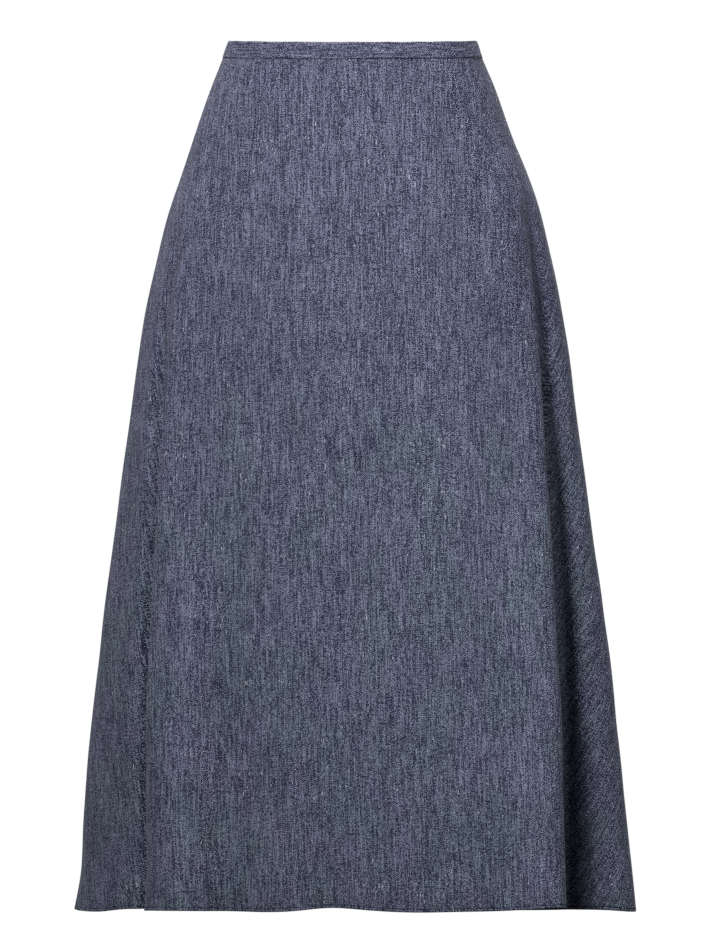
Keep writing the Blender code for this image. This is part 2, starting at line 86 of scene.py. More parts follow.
LINES = (
    Line("centre_front", 0, 0.0080, -0.1425, 0.20, 1.0, 0.0010),
    Line("front_crest", 13, 0.0520, -0.1460, 0.25, 1.0, -0.0015),
    Line("wide_crest", 26, 0.0980, -0.1470, 0.28, 1.0, -0.0009),
    Line("front_hollow", 40, 0.1480, -0.1350, 0.28, 1.0, 0.0004),
    Line("edge_rise", 50, 0.1750, -0.1390, 0.28, 0.9, 0.0022),
    Line("fold_edge", 57.5, 0.1930, -0.1220, 0.31, 1.0, 0.0027),
    Line("fold_under", 62.5, 0.1870, -0.0990, 0.16, 0.9, 0.0020),
    Line("fold_in", 67.5, 0.1650, -0.0780, 0.12, 0.8, 0.0010),
    Line("fold_root", 72, 0.1460, -0.0550, 0.12, 0.75, 0.0005),
    Line("fold_back", 73.7, 0.1580, -0.0390, 0.12, 0.75, 0.0005),
    Line("fold_out", 76, 0.1960, -0.0390, 0.11, 0.85, 0.0008),
    Line("flute_face", 79.5, 0.2310, -0.0320, 0.10, 1.0, 0.0006),
    Line("flute_front", 85, 0.2530, -0.0150, 0.09, 1.0, -0.0008),
    Line("flute_crest", 91, 0.2612, 0.0100, 0.09, 1.0, -0.0008),
    Line("left_seam", 95, 0.2560, 0.0320, 0.09, 1.0, 0.0000),
    Line("flute_back", 100, 0.2370, 0.0490, 0.09, 1.0, 0.0000),
    Line("back_in", 105, 0.2050, 0.0590, 0.10, 0.9, 0.0004),
    Line("back_root", 110, 0.1740, 0.0740, 0.12, 0.8, 0.0008),
    Line("back_out", 115, 0.1740, 0.0960, 0.10, 0.9, 0.0008),
    Line("back_edge", 121, 0.1860, 0.1180, 0.09, 1.0, 0.0008),
    Line("back_rise", 129, 0.1760, 0.1400, 0.09, 1.0, 0.0000),
    Line("back_flat", 140, 0.1420, 0.1530, 0.09, 1.0, -0.0006),
    Line("back_hollow", 154, 0.0950, 0.1570, 0.09, 1.0, 0.0010),
    Line("back_crest", 168, 0.0450, 0.1710, 0.09, 1.0, -0.0006),
    Line("centre_back", 180, 0.0000, 0.1700, 0.09, 1.0, 0.0000),
    Line("right_back_crest", 192, -0.0480, 0.1720, 0.09, 1.0, -0.0004),
    Line("right_back_hollow", 206, -0.0980, 0.1580, 0.09, 1.0, 0.0008),
    Line("right_back_flat", 220, -0.1420, 0.1500, 0.10, 0.9, 0.0000),
    Line("right_back_rise", 231, -0.1740, 0.1360, 0.10, 0.8, 0.0000),
    Line("right_back_edge", 239, -0.1840, 0.1140, 0.10, 0.8, 0.0010),
    Line("right_back_out", 245, -0.1750, 0.0950, 0.10, 0.8, 0.0008),
    Line("right_back_root", 250, -0.1790, 0.0750, 0.10, 0.8, 0.0008),
    Line("right_back_in", 255, -0.2030, 0.0620, 0.10, 0.8, 0.0004),
    Line("right_flute_back", 260, -0.2330, 0.0500, 0.10, 0.8, 0.0000),
    Line("right_seam", 265, -0.2500, 0.0320, 0.10, 0.8, 0.0004),
    Line("right_flute_crest", 270, -0.2555, 0.0100, 0.10, 0.8, 0.0010),
    Line("right_flute_front", 275, -0.2500, -0.0170, 0.10, 0.8, 0.0000),
    Line("right_flute_face", 280, -0.2300, -0.0500, 0.10, 0.8, -0.0006),
    Line("right_fold_out", 285.5, -0.2080, -0.0740, 0.12, 0.9, 0.0015),
    Line("right_fold_back", 289, -0.1880, -0.0840, 0.12, 0.9, 0.0016),
    Line("right_fold_root", 291.5, -0.1730, -0.0880, 0.12, 0.9, 0.0012),
    Line("right_fold_turn", 293.5, -0.1670, -0.0960, 0.12, 0.9, 0.0008),
    Line("right_fold_under", 296, -0.1740, -0.1050, 0.12, 0.95, 0.0004),
    Line("right_fold_edge", 300.5, -0.1885, -0.1200, 0.14, 1.3, 0.0002),
    Line("right_edge_rise", 306, -0.1790, -0.1410, 0.22, 1.0, 0.0002),
    Line("right_ridge", 312, -0.1580, -0.1500, 0.28, 1.0, 0.0000),
    Line("right_slope", 322, -0.1220, -0.1380, 0.28, 0.9, -0.0005),
    Line("right_hollow", 330, -0.0960, -0.1350, 0.28, 0.9, -0.0009),
    Line("small_crest", 342, -0.0540, -0.1430, 0.25, 1.0, -0.0003),
    Line("centre_hollow", 351, -0.0200, -0.1410, 0.25, 1.0, 0.0025),
)
FOLD_START = 0.10
WAIST_ROUND = 0.3
OUTLINE_STEP = 0.2
NUDGE = 0.001

# ---------------------------------------------------------------- sizes of what is added here
WALL = 0.0007                # the cloth itself
TUCK = 0.0040                # how far a panel runs up inside the waistband
ROW_STEP = 0.0050            # rows of faces down the cloth
FINE = 8                     # faces between two lines
EDGE_STEPS = (0.0, 0.0004, 0.0008, 0.0013, 0.0020, 0.0030, 0.0042)   # columns beside a seam
SEAM_ROLL = 0.0011           # how deep a panel's edge rolls in at a seam
SEAM_ROLL_WIDTH = 0.0016
HEM_WALL = 0.0016            # the narrow hem, turned twice
HEM_HEIGHT = 0.0048
HEM_STITCH = 0.0029          # its stitching, above the edge
HEM_STEPS = (0.0, 0.00012, 0.0003, 0.0006, 0.0010, 0.0015, 0.0020, 0.0024, 0.0027, 0.0029, 0.0031,
             0.0034, 0.0038, 0.0043, 0.0048, 0.0052, 0.0058, 0.0070, 0.0090, 0.0120, 0.0160)
STITCH = 0.0023
STITCH_GAP = 0.0006
THREAD = 0.00028
THREAD_SIDES = 6
STITCH_GROOVE = 0.00030      # the hollow that the hem's stitching lies in
STITCH_GROOVE_WIDTH = 0.00035
BAND_CLOTH = 0.0006
BAND_ROLL = ((0.0007, 0.00055), (0.00015, 0.00035), (0.0001, 0.00012), (0.0005, 0.0))   # up, and inward
TAPE_WAVE = 0.00014          # how far a tape bends between its stitches
TAPE_WAVE_LENGTH = 0.010134
TAPE_CORD = 0.00012          # the thicker cord near its edge, its place and its width
TAPE_CORD_PLACE = 0.0008
TAPE_CORD_WIDTH = 0.0006
TAPE_FACES = (0.0003, 0.00075)   # how far inside the solid's outer face the two faces lie
COIL_PITCH = 0.00115
COIL_STEPS = 10              # points round each turn
COIL_SAMPLES = 60
COIL_CENTRE = 0.00052        # from the zip's middle to the middle of each coil
COIL_HALF_WIDTH = 0.00072
COIL_HALF_DEPTH = 0.00052
COIL_WIRE = 0.00023
PANEL_SHARP = math.radians(70)
TAPE_SHARP = math.radians(60)

# Fine ripples beside a seam: height, how far they reach from it, length of one, and how much and how
# often along the seam that length drifts.
Pucker = namedtuple("Pucker", "height reach length drift turns")
SEAM_PUCKER = Pucker(0.00015, 0.0070, 0.0135, 0.0, 0)
WAIST_PUCKER = Pucker(0.00012, 0.0060, 0.0105, 3.0, 61)
HEM_PUCKER = Pucker(0.00030, 0.0100, 0.0230, 2.4, 37)

# Soft troughs and ridges of the cloth: from x, z to x, z as seen from the front or the back, the
# half width, and the depth, which is negative for a ridge.
Crease = namedtuple("Crease", "side top_x top_z low_x low_z width depth")
CREASES = (
    Crease("front", 0.0440, -0.015, 0.0430, -0.235, 0.011, 0.0013),
    Crease("front", 0.1190, -0.100, 0.1215, -0.240, 0.010, 0.0020),
    Crease("front", -0.1230, -0.180, -0.1260, -0.560, 0.017, 0.0030),
    Crease("front", -0.1250, -0.400, -0.1120, -0.830, 0.018, 0.0105),
    Crease("front", -0.1680, -0.420, -0.1680, -0.830, 0.012, -0.0020),
    Crease("front", -0.0210, -0.640, -0.0210, -0.830, 0.018, 0.0022),
    Crease("front", 0.1440, -0.690, 0.1440, -0.830, 0.013, 0.0020),
    Crease("front", 0.1720, -0.620, 0.1720, -0.760, 0.009, 0.0010),
    Crease("back", -0.0500, -0.020, -0.0560, -0.210, 0.012, 0.0009),
    Crease("back", 0.0830, -0.060, 0.0980, -0.260, 0.012, 0.0012),
    Crease("back", 0.0300, -0.640, 0.0240, -0.830, 0.016, 0.0012),
    Crease("back", -0.1150, -0.600, -0.1250, -0.830, 0.014, 0.0010),
)
CREASE_FADE = 0.35           # share of a crease that fades in at each end
CREASE_TO_HEM_FADE = 0.6     # the same where it runs out at the hem
CREASE_SIDES = (0.03, 0.06)  # how far in front of the middle, or behind it, a crease begins and is whole
# Narrow troughs that follow a line of the cloth, in the deep folds.
Gutter = namedtuple("Gutter", "line start end width depth")
GUTTERS = (
    Gutter("right_fold_back", 0.22, 0.34, 0.0055, 0.0120),
    Gutter("fold_out", 0.30, 0.45, 0.0120, 0.0065),
    Gutter("right_back_in", 0.30, 0.45, 0.0090, 0.0030),
)
SWAYS = 26                   # long random waves that keep the cloth from looking machined
SWAY = 0.00048
SEED = 7


# ---------------------------------------------------------------- sections, as in the part's source
def column(rows, name):
    return np.array([getattr(row, name) for row in rows])


def hermite(part, start, end, start_slope, end_slope):
    rise = part * part * (3 - 2 * part)
    return (start * (1 - rise) + end * rise
            + start_slope * part * (1 - part) ** 2
            - end_slope * part ** 2 * (1 - part))


def smooth_lookup(table, name, drop):
    drops = column(table, "drop")
    values = column(table, name)
    slopes = np.gradient(values, drops)
    row = int(np.clip(np.searchsorted(drops, drop) - 1, 0, len(drops) - 2))
    step = drops[row + 1] - drops[row]
    part = (drop - drops[row]) / step
    return hermite(part, values[row], values[row + 1], slopes[row] * step, slopes[row + 1] * step)


def towards(values, low, high):
    return np.where(values < 0, values * low, values * high)


ANGLES = np.radians(column(LINES, "waist"))
HEM = REACHES[-1]
HEM_PLAN = np.stack([towards(column(LINES, "hem_x"), 1 / HEM.minus_x, 1 / HEM.plus_x),
                     towards(column(LINES, "hem_y"), 1 / HEM.front, 1 / HEM.back)])
WAIST_PLAN = np.stack([np.sin(ANGLES), -np.cos(ANGLES)])
FRONT_SHARE = (np.cos(ANGLES) + np.sqrt(np.cos(ANGLES) ** 2 + WAIST_ROUND ** 2)) / 2
LINE_INDEX = {line.name: index for index, line in enumerate(LINES)}
TURN = len(LINES)


def opened(drop):
    opens = column(LINES, "opens")
    share = np.clip((drop - opens) / (LENGTH - opens), 0, None)
    return (share ** 2 / (share + FOLD_START) * (1 + FOLD_START)) ** column(LINES, "ease")


class Section:
    """The closed curve of the cloth's outer face at one drop, the same as the solids' own."""

    made = {}

    def __init__(self, drop):
        share = drop / LENGTH
        moved = opened(drop)
        plan = WAIST_PLAN * (1 - moved) + HEM_PLAN * moved
        minus_x, plus_x, front, back = (smooth_lookup(REACHES, side, drop) for side in Reach._fields[1:])
        x = towards(plan[0], minus_x, plus_x)
        y = towards(plan[1], front, back)
        top = -WAIST_DIP * FRONT_SHARE
        hem = -LENGTH + HEM_RISE * np.clip(-HEM_PLAN[1], 0, 1) + column(LINES, "lift")
        z = top + (hem - top) * share
        self.fit(np.stack([x, y, z], axis=1))
        outline = self.curve(np.arange(0, TURN, OUTLINE_STEP))
        x = towards(x, minus_x / -outline[:, 0].min(), plus_x / outline[:, 0].max())
        y = towards(y, front / -outline[:, 1].min(), back / outline[:, 1].max())
        self.fit(np.stack([x, y, z], axis=1))
        outline = self.curve(np.linspace(0, TURN, TURN * FINE + 1))
        steps = np.linalg.norm(np.diff(outline, axis=0), axis=1)
        self.arcs = np.concatenate([[0], np.cumsum(steps)])

    @classmethod
    def at(cls, drop):
        key = round(float(drop), 7)
        if key not in cls.made:
            cls.made[key] = cls(key)
        return cls.made[key]

    def fit(self, knots):
        ahead = np.roll(knots, -1, axis=0) - knots
        span = np.linalg.norm(ahead, axis=1)
        before = np.roll(span, 1)
        pace = ahead / span[:, None]
        matrix = np.diag(2 * (before + span))
        for index in range(len(knots)):
            matrix[index, index - 1] += span[index]
            matrix[index, (index + 1) % len(knots)] += before[index]
        pull = 3 * (span[:, None] * np.roll(pace, 1, axis=0) + before[:, None] * pace)
        self.knots = knots
        self.span = span
        self.tangents = np.linalg.solve(matrix, pull)

    def curve(self, places):
        places = np.asarray(places, dtype=float)
        start = np.floor(places).astype(int) % len(self.knots)
        end = (start + 1) % len(self.knots)
        part = (places - np.floor(places))[:, None]
        span = self.span[start][:, None]
        return hermite(part, self.knots[start], self.knots[end],
                       self.tangents[start] * span, self.tangents[end] * span)

    def outward(self, places):
        ahead = self.curve(np.asarray(places) + NUDGE) - self.curve(np.asarray(places) - NUDGE)
        outward = np.stack([ahead[:, 1], -ahead[:, 0], np.zeros(len(ahead))], axis=1)
        return outward / np.linalg.norm(outward, axis=1)[:, None]

    def arc(self, places):
        """Length along the cloth from the centre front to each place, more than once round too."""
        places = np.asarray(places, dtype=float)
        rounds = np.floor(places / TURN)
        return (rounds * self.arcs[-1]
                + np.interp(places - rounds * TURN, np.linspace(0, TURN, len(self.arcs)), self.arcs))

    def beside(self, line, distance):
        """The place that lies a distance along the cloth from a line, past it or before it."""
        index = LINE_INDEX[line]
        span = self.span[index % TURN] if distance > 0 else self.span[index - 1]
        return index + distance / span


# ---------------------------------------------------------------- the cloth's own unevenness
def smooth_step(value, low, high):
    share = np.clip((value - low) / (high - low), 0, 1)
    return share * share * (3 - 2 * share)


def make_sways():
    """Long shallow waves, longer down the cloth than across it."""
    draw = np.random.default_rng(SEED)
    across = draw.uniform(0.035, 0.110, SWAYS)
    down = draw.uniform(0.10, 0.45, SWAYS)
    phase = draw.uniform(0, 2 * np.pi, SWAYS)
    tilt = draw.choice([-1.0, 1.0], SWAYS)
    return across, down * tilt, phase


SWAY_ACROSS, SWAY_DOWN, SWAY_PHASE = make_sways()


def ripples(run, pucker):
    """Heights of a seam's ripples at these lengths along it."""
    drift = pucker.drift * np.sin(run * pucker.turns)
    return pucker.height * np.sin(2 * np.pi * run / pucker.length + drift)


def unevenness(section, points, arcs, drop):
    """How far the cloth stands out from its plain surface: creases, sways, puckers at seams and hem."""
    x, y, z = points.T
    out = np.zeros(len(points))
    for crease in CREASES:
        run = np.clip((crease.top_z - z) / (crease.top_z - crease.low_z), -0.5, 1.5)
        middle = crease.top_x + (crease.low_x - crease.top_x) * run
        ends = smooth_step(run, 0, CREASE_FADE) * (1 - smooth_step(run, 1 - CREASE_FADE, 1))
        if crease.low_z < -LENGTH:
            ends = smooth_step(run, 0, CREASE_TO_HEM_FADE)
        facing = smooth_step(-y if crease.side == "front" else y, *CREASE_SIDES)
        out -= crease.depth * ends * facing * np.exp(-((x - middle) / crease.width) ** 2)
    for gutter in GUTTERS:
        middle = section.arc([LINE_INDEX[gutter.line]])[0]
        girth = section.arcs[-1]
        away = np.remainder(arcs - middle + girth / 2, girth) - girth / 2
        depth = gutter.depth * smooth_step(drop, gutter.start, gutter.end)
        out -= depth * np.exp(-(away / gutter.width) ** 2)
    free = smooth_step(drop, 0.01, 0.12)
    waves = np.sin(2 * np.pi * (arcs[:, None] / SWAY_ACROSS + drop / SWAY_DOWN) + SWAY_PHASE)
    out += SWAY * free * (waves * SWAY_ACROSS / SWAY_ACROSS.mean()).sum(axis=1) / math.sqrt(SWAYS)
    out += math.exp(-max(drop - BAND_HEIGHT, 0) / WAIST_PUCKER.reach) * ripples(arcs, WAIST_PUCKER)
    out += math.exp(-(LENGTH - drop) / HEM_PUCKER.reach) * ripples(arcs, HEM_PUCKER)
    return out


# ---------------------------------------------------------------- meshes
def add_piece(name, vertices, faces, material, body="skirt"):
    mesh = bpy.data.meshes.new(name)
    mesh.from_pydata(vertices, [], faces)
    mesh.materials.append(material)
    mesh.validate()
    mesh.shade_smooth()
    piece = bpy.data.objects.new(name, mesh)
    bpy.context.scene.collection.objects.link(piece)
    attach(piece, body)
    return piece


def grid_faces(rows, columns, start=0, flip=False):
    corner = start + np.arange(rows - 1)[:, None] * columns + np.arange(columns - 1)[None, :]
    quads = np.stack([corner, corner + columns, corner + columns + 1, corner + 1], axis=-1).reshape(-1, 4)
    return quads[:, ::-1] if flip else quads


def write_map(mesh, name, places):
    """A UV map with one place for each vertex."""
    layer = mesh.uv_layers.new(name=name)
    corners = np.empty(len(mesh.loops), dtype=np.int64)
    mesh.loops.foreach_get("vertex_index", corners)
    layer.data.foreach_set("uv", places[corners].astype(np.float32).ravel())


def wall_piece(name, outer, inner, cut, material, weave=None):
    """A thin closed wall between two grids of points, with the flat cut and the weave as maps."""
    rows, columns = outer.shape[:2]
    count = rows * columns
    faces = [grid_faces(rows, columns), grid_faces(rows, columns, count, flip=True)]
    index = np.arange(count).reshape(rows, columns)
    rim = np.concatenate([index[0, :-1], index[:-1, -1], index[-1, :0:-1], index[:0:-1, 0]])
    ahead = np.roll(rim, -1)
    faces.append(np.stack([rim, ahead, ahead + count, rim + count], axis=-1))
    vertices = np.concatenate([outer.reshape(-1, 3), inner.reshape(-1, 3)])
    piece = add_piece(name, vertices.tolist(), np.concatenate(faces).tolist(), material)
    places = np.concatenate([cut.reshape(-1, 2)] * 2)
    threads = places if weave is None else np.concatenate([weave.reshape(-1, 2)] * 2)
    write_map(piece.data, "Cut", places)
    write_map(piece.data, "Weave", threads)
    low = places.min(axis=0)
    size = np.ptp(places, axis=0).max() * 1.02
    layout = (places - low) / size * 0.5 + 0.005
    layout[count:, 1] += 0.5
    layout *= 0.99
    write_map(piece.data, "OFBake", layout)
    return piece


# ---------------------------------------------------------------- panels
Panel = namedtuple("Panel", "name start end grain")
PANELS = (
    Panel("front", "right_seam", "left_seam", "centre_front"),
    Panel("back_left", "left_seam", "centre_back", "centre_back"),
    Panel("back_right", "centre_back", "right_seam", "centre_back"),
)
FAN_RADIUS = 0.50            # from the fan's point to the waist, in the flat cut
FLUTE_GRAIN = math.radians(20)   # how far the weave leans on the left flute, past the deep fold
FLUTE_PIVOT_DROP = 0.50


def panel_range(panel):
    first = LINE_INDEX[panel.start]
    last = LINE_INDEX[panel.end]
    if last <= first:
        first -= TURN
    return first, last


def panel_places(panel, section):
    """Columns round a panel, close together beside its seams."""
    first, last = panel_range(panel)
    near = first + np.array(EDGE_STEPS) / section.span[first % TURN]
    far = last - np.array(EDGE_STEPS)[::-1] / section.span[(last - 1) % TURN]
    middle = np.linspace(first + 1, last - 1, (last - first - 2) * FINE + 1)
    left_part = np.linspace(near[-1], middle[0], 5)[1:-1]
    right_part = np.linspace(middle[-1], far[0], 5)[1:-1]
    return np.concatenate([near, left_part, middle, right_part, far])


def panel_rows():
    """Drops of the rows, close together in the hem."""
    hem = LENGTH - np.array(HEM_STEPS)[::-1]
    start = BAND_HEIGHT - TUCK
    top = [start, start + 0.002, BAND_HEIGHT - 0.0006, BAND_HEIGHT, BAND_HEIGHT + 0.0005,
           BAND_HEIGHT + 0.001, BAND_HEIGHT + 0.002, BAND_HEIGHT + 0.0035]
    steps = int((hem[0] - top[-1]) / ROW_STEP)
    between = np.linspace(top[-1], hem[0], steps + 1)[1:-1]
    return np.concatenate([top, between, hem])


def hem_shape(height):
    """How far the outer and inner faces lie inside the plain surface, at a height above the hem's edge."""
    half = HEM_WALL / 2
    bend = half - math.sqrt(max(half * half - max(half - height, 0) ** 2, 0))
    doubled = 1 - smooth_step(height, HEM_HEIGHT, HEM_HEIGHT + 0.0006)
    groove = STITCH_GROOVE * math.exp(-((height - HEM_STITCH) / STITCH_GROOVE_WIDTH) ** 2)
    outer = bend + groove
    inner = WALL + (HEM_WALL - WALL) * doubled - bend - groove * doubled
    return outer, inner


def cut_places(section, places, drop, grain):
    """Where the cloth at these places lies in the flat cut, a fan whose grain runs down its middle line."""
    arcs = section.arc(places) - section.arc([LINE_INDEX[grain]])[0]
    radius = FAN_RADIUS + drop
    angle = arcs / radius
    return np.stack([radius * np.sin(angle), FAN_RADIUS - radius * np.cos(angle)], axis=1)


def lean_weave(cut, places, panel):
    """The weave's map: the flat cut's places, turned past the deep fold, where the cloth is on the bias."""
    level = Section.at(FLUTE_PIVOT_DROP)
    pivot = cut_places(level, [LINE_INDEX["fold_out"]], FLUTE_PIVOT_DROP, panel.grain)[0]
    u, v = (cut - pivot).T
    turned = pivot + np.stack([u * math.cos(FLUTE_GRAIN) - v * math.sin(FLUTE_GRAIN),
                               u * math.sin(FLUTE_GRAIN) + v * math.cos(FLUTE_GRAIN)], axis=1)
    share = smooth_step(places, LINE_INDEX["fold_in"], LINE_INDEX["fold_out"])[:, None]
    return cut * (1 - share) + turned * share


def surface(section, places, drop):
    """Points of the uneven outer face, and the outward direction at each."""
    points = section.curve(places)
    outward = section.outward(places)
    arcs = section.arc(places)
    return points + outward * unevenness(section, points, arcs, drop)[:, None], outward


def build_panel(panel, material):
    outer_rows, inner_rows, cuts, weaves = [], [], [], []
    for drop in panel_rows():
        section = Section.at(drop)
        places = panel_places(panel, section)
        points, outward = surface(section, places, drop)
        arcs = section.arc(places)
        edge = np.minimum(arcs - arcs[0], arcs[-1] - arcs)
        roll = SEAM_ROLL * np.exp(-(edge / SEAM_ROLL_WIDTH) ** 2)
        roll += (SEAM_PUCKER.height + ripples(drop, SEAM_PUCKER)) * np.exp(-edge / SEAM_PUCKER.reach)
        under, deep = hem_shape(LENGTH - drop)
        outer_rows.append(points - outward * (under + roll)[:, None])
        inner_rows.append(points - outward * (deep + roll)[:, None])
        cuts.append(cut_places(section, places, drop, panel.grain))
        weaves.append(lean_weave(cuts[-1], places, panel) if panel.name == "front" else cuts[-1])
    outer, inner, cut, weave = (np.array(rows) for rows in (outer_rows, inner_rows, cuts, weaves))
    piece = wall_piece(panel.name + "_cloth", outer, inner, cut, material, weave)
    piece.data.set_sharp_from_angle(angle=PANEL_SHARP)
    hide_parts(panel.name)
    return piece


# ---------------------------------------------------------------- waistband
def band_profile():
    """The band's folded strip: drops and depths of its middle line, from the outer edge over the top."""
    outer = BAND_PROUD - BAND_CLOTH / 2
    inner = BAND_PROUD - BAND_WALL + BAND_CLOTH / 2
    radius = (outer - inner) / 2
    rows = [(BAND_HEIGHT - up, outer - inward) for up, inward in BAND_ROLL]
    rows += [(drop, outer) for drop in np.linspace(BAND_HEIGHT - 0.0015, radius + 0.0006, 9)]
    for step in range(9):
        turn = math.pi * step / 8
        rows.append((radius * (1 - math.sin(turn)) + 0.0001, (outer + inner) / 2 + radius * math.cos(turn)))
    rows += [(drop, inner) for drop in np.linspace(radius + 0.0012, BAND_HEIGHT - 0.0012, 8)]
    rows += [(BAND_HEIGHT - 0.0002, inner + 0.0001)]
    return np.array(rows)


def build_band(material):
    first = LINE_INDEX["centre_back"]
    outer_rows, inner_rows, cuts = [], [], []
    profile = band_profile()
    run = np.concatenate([[0], np.cumsum(np.linalg.norm(np.diff(profile, axis=0), axis=1))])
    turn = np.gradient(profile, axis=0)
    for (drop, depth), along, (down, out) in zip(profile, run, turn):
        section = Section.at(max(drop, 0))
        places = np.linspace(first, first + TURN, TURN * 6 + 1)
        places[0] += BAND_SLOT / 2 / section.span[first]
        places[-1] -= BAND_SLOT / 2 / section.span[first - 1]
        arcs = section.arc(places) - section.arc([first])[0]
        ends = np.minimum(arcs - arcs[0], arcs[-1] - arcs)
        arcs *= Section.at(BAND_HEIGHT / 2).arcs[-1] / section.arcs[-1]
        outward = section.outward(places)
        wave = 0.00010 * np.sin(arcs * 230 + 3 * np.sin(arcs * 47))
        wave += 0.00016 * np.sin(arcs * 71 + along * 300)
        middle = section.curve(places) + outward * (depth + wave)[:, None]
        middle[:, 2] += 0.00012 * np.sin(arcs * 160 + 2 * np.sin(arcs * 33)) * (drop < 0.004)
        length = math.hypot(down, out)
        facing = outward * (-down / length)
        facing[:, 2] -= out / length
        thin = BAND_CLOTH / 2 * smooth_step(ends, -0.0004, 0.0006)[:, None]
        outer_rows.append(middle + facing * thin)
        inner_rows.append(middle - facing * thin)
        cuts.append(np.stack([arcs, np.full(len(arcs), -along)], axis=1))
    outer, inner, cut = (np.array(rows)[::-1] for rows in (outer_rows, inner_rows, cuts))
    piece = wall_piece("waistband_cloth", outer, inner, cut, material)
    piece.data.set_sharp_from_angle(angle=PANEL_SHARP)
    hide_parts("waistband")
    return piece


# ---------------------------------------------------------------- thread, coil and tapes
def tube(path, radius, sides, taper=False):
    """Vertices and faces of a round tube along a path."""
    path = np.asarray(path, dtype=float)
    ahead = np.gradient(path, axis=0)
    ahead /= np.linalg.norm(ahead, axis=1)[:, None]
    helper = np.where(np.abs(ahead[:, 2:]) > 0.9, [[1.0, 0, 0]], [[0, 0, 1.0]])
    first = np.cross(ahead, helper)
    first /= np.linalg.norm(first, axis=1)[:, None]
    second = np.cross(ahead, first)
    turn = 2 * np.pi * np.arange(sides) / sides
    size = np.full(len(path), radius)
    if taper:
        size[[0, -1]] *= 0.45
    ring = first[:, None] * np.cos(turn)[:, None] + second[:, None] * np.sin(turn)[:, None]
    vertices = (path[:, None] + ring * size[:, None, None]).reshape(-1, 3)
    corner = np.arange(len(path) - 1)[:, None] * sides
    near = corner + np.arange(sides)
    far = corner + (np.arange(sides) + 1) % sides
    faces = np.stack([near, near + sides, far + sides, far], axis=-1).reshape(-1, 4)[:, ::-1].tolist()
    faces.append(list(range(sides)))
    faces.append([(len(path) - 1) * sides + side for side in range(sides)][::-1])
    return vertices, faces


def add_tubes(name, paths, radius, sides, material, taper=False):
    vertices, faces, start = [], [], 0
    for path in paths:
        points, sides_of = tube(path, radius, sides, taper)
        vertices.append(points)
        faces += [[start + corner for corner in face] for face in sides_of]
        start += len(points)
    return add_piece(name, np.concatenate(vertices).tolist(), faces, material)


def stitch_paths(section, drop, first, last, depth, bow):
    """Short runs of thread along a row, each sunk at both ends."""
    grid = np.linspace(first, last, int((last - first) * 40) + 1)
    arcs = section.arc(grid)
    draw = np.random.default_rng(SEED + int(drop * 1000))
    paths = []
    start = arcs[0] + STITCH_GAP
    while start + STITCH < arcs[-1]:
        length = STITCH * draw.uniform(0.9, 1.08)
        places = np.interp(start + length * np.array([0, 0.18, 0.5, 0.82, 1]), arcs, grid)
        points, outward = surface(section, places, drop)
        rise = depth + bow * np.array([-1.0, 0.2, 0.6, 0.2, -1.0])
        points = points + outward * rise[:, None]
        points[:, 2] += draw.uniform(-1, 1) * 0.00008
        paths.append(points)
        start += length + STITCH_GAP
    return paths


def build_stitching(material):
    hem_drop = LENGTH - HEM_STITCH
    section = Section.at(hem_drop)
    paths = []
    for panel in PANELS:
        first, last = panel_range(panel)
        paths += stitch_paths(section, hem_drop, first, last, -0.00022, THREAD)
    piece = add_tubes("hem_stitching", paths, THREAD, THREAD_SIDES, material, taper=True)
    ditch_drop = BAND_HEIGHT + 0.00045
    first = LINE_INDEX["centre_back"]
    paths = stitch_paths(Section.at(ditch_drop), ditch_drop, first + 0.1, first + TURN - 0.1, 0.0, THREAD)
    piece = add_tubes("waist_stitching", paths, THREAD, THREAD_SIDES, material, taper=True)


def zip_depths():
    """Where the tapes' outer faces and the coil's lie, out from the cloth's outer face."""
    tape = BAND_PROUD - BAND_WALL - SEAM_GAP
    return tape, tape - TAPE_WALL - SEAM_GAP


def build_tapes(material):
    """The woven tapes, a little wavy between their stitches."""
    tape_depth = zip_depths()[0]
    for name, side in (("zip_tape_left", -1), ("zip_tape_right", 1)):
        outer_rows, inner_rows, cuts = [], [], []
        for drop in np.linspace(ZIP_START, ZIP_END, 150):
            section = Section.at(drop)
            distances = side * np.linspace(BAND_SLOT / 2, BAND_SLOT / 2 + TAPE_WIDTH, 15)[::side]
            places = np.array([section.beside("centre_back", distance) for distance in distances])
            outward = section.outward(places)
            across = np.abs(distances) - BAND_SLOT / 2
            wave = TAPE_WAVE * np.sin(2 * np.pi * drop / TAPE_WAVE_LENGTH)
            wave = wave * smooth_step(across, 0.004, TAPE_WIDTH)
            cord = TAPE_CORD * np.exp(-((across - TAPE_CORD_PLACE) / TAPE_CORD_WIDTH) ** 2)
            points = section.curve(places)
            outer_rows.append(points + outward * (tape_depth - TAPE_FACES[0] + wave + cord)[:, None])
            inner_rows.append(points + outward * (tape_depth - TAPE_FACES[1] + wave - cord)[:, None])
            cuts.append(np.stack([distances, np.full(len(distances), -drop)], axis=1))
        outer, inner, cut = (np.array(rows) for rows in (outer_rows, inner_rows, cuts))
        piece = wall_piece(name + "_woven", outer, inner, cut, material)
        piece.data.set_sharp_from_angle(angle=TAPE_SHARP)
        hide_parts(name)


